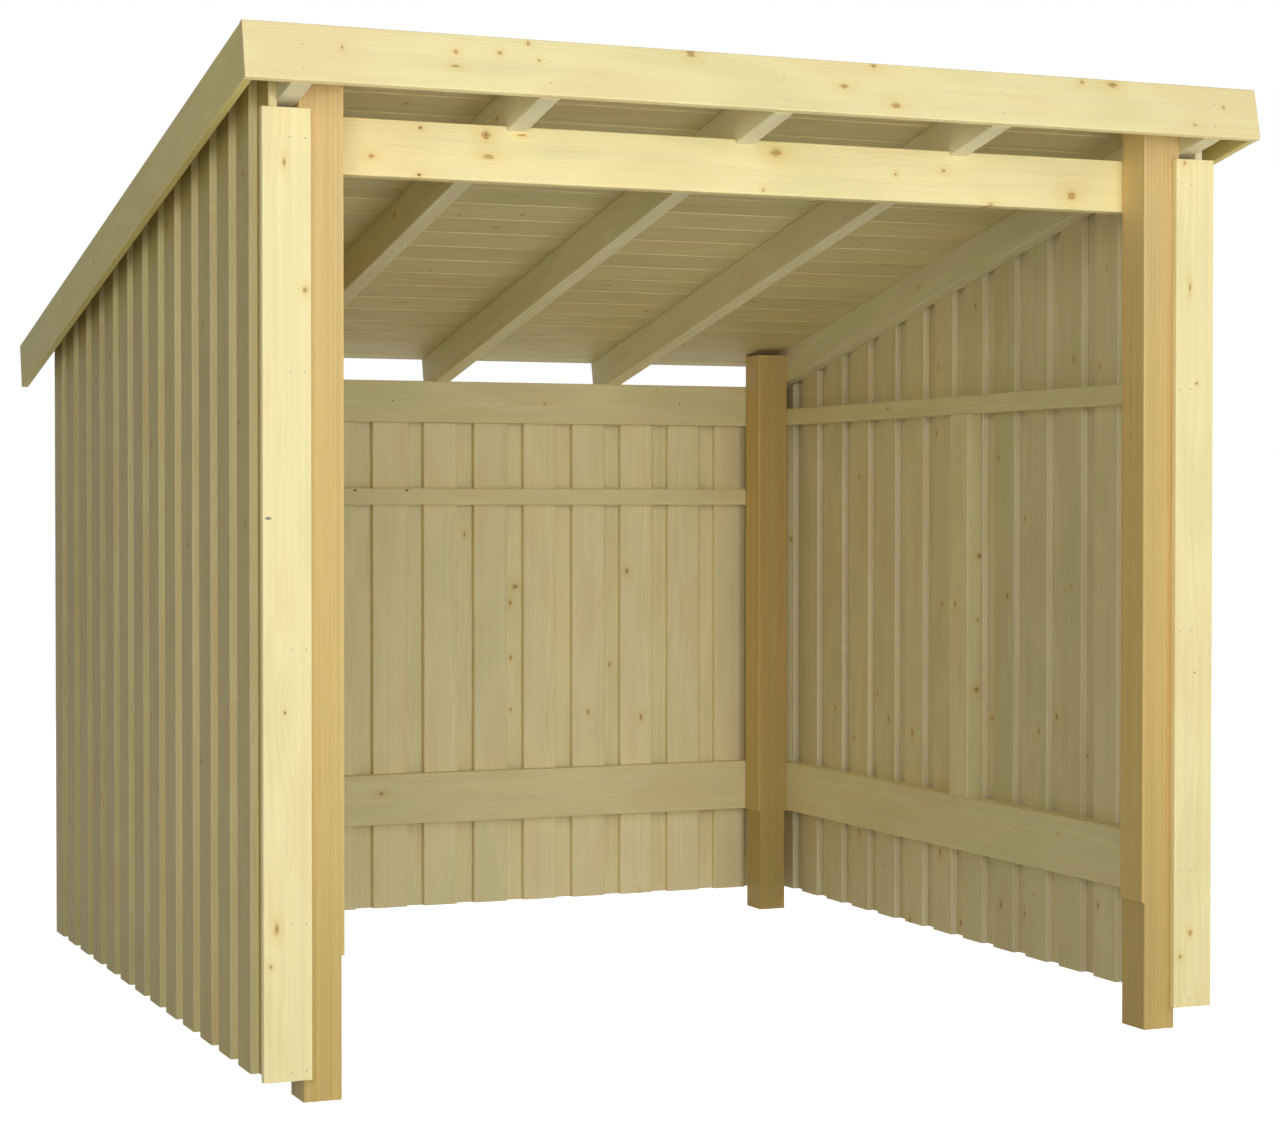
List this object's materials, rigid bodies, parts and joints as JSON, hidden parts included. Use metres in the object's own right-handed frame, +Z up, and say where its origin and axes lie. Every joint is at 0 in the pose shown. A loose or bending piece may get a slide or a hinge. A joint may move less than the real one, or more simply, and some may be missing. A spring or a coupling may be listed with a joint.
{
  "type": "bike shelter",
  "caption": "Open-fronted timber bike shelter with board-on-board walls on three sides, square posts and a boarded mono-pitch roof that falls to the back.",
  "frame": {"origin": "on the ground, under the middle of the roof", "axes": "+Z up, +Y from the open front to the back wall, +X to the right as seen from the front"},
  "size_m": [2.408, 2.4129, 2.1839],
  "materials": {
    "laminated_posts": "planed, satin",
    "planed_trim": "planed, matte",
    "wall_cladding": "planed, matte",
    "framing_timber": "planed, matte",
    "roof_boarding": "planed, matte",
    "roofing_felt": "mineral grit, matte"
  },
  "bodies": {
    "root": {"back_inner_boards": "wall_cladding", "back_lower_rail": "framing_timber", "back_middle_rail": "framing_timber", "back_outer_boards": "wall_cladding", "back_top_rail": "framing_timber", "corner_board_left": "planed_trim", "corner_board_right": "planed_trim", "front_fascia": "planed_trim", "header_beam": "planed_trim", "left_back_stud": "framing_timber", "left_front_stud": "framing_timber", "left_inner_boards": "wall_cladding", "left_lower_rail": "framing_timber", "left_middle_stud": "framing_timber", "left_outer_boards": "wall_cladding", "left_upper_rail": "framing_timber", "post_back_left": "laminated_posts", "post_back_right": "laminated_posts", "post_front_left": "laminated_posts", "post_front_right": "laminated_posts", "rafter_centre": "framing_timber", "rafter_centre_left": "framing_timber", "rafter_centre_right": "framing_timber", "rafter_left": "framing_timber", "rafter_right": "framing_timber", "right_back_stud": "framing_timber", "right_front_stud": "framing_timber", "right_inner_boards": "wall_cladding", "right_lower_rail": "framing_timber", "right_middle_stud": "framing_timber", "right_outer_boards": "wall_cladding", "right_upper_rail": "framing_timber", "roof_boards": "roof_boarding", "roof_felt": "roofing_felt", "verge_board_left": "planed_trim", "verge_board_right": "planed_trim"}
  },
  "joints": []
}
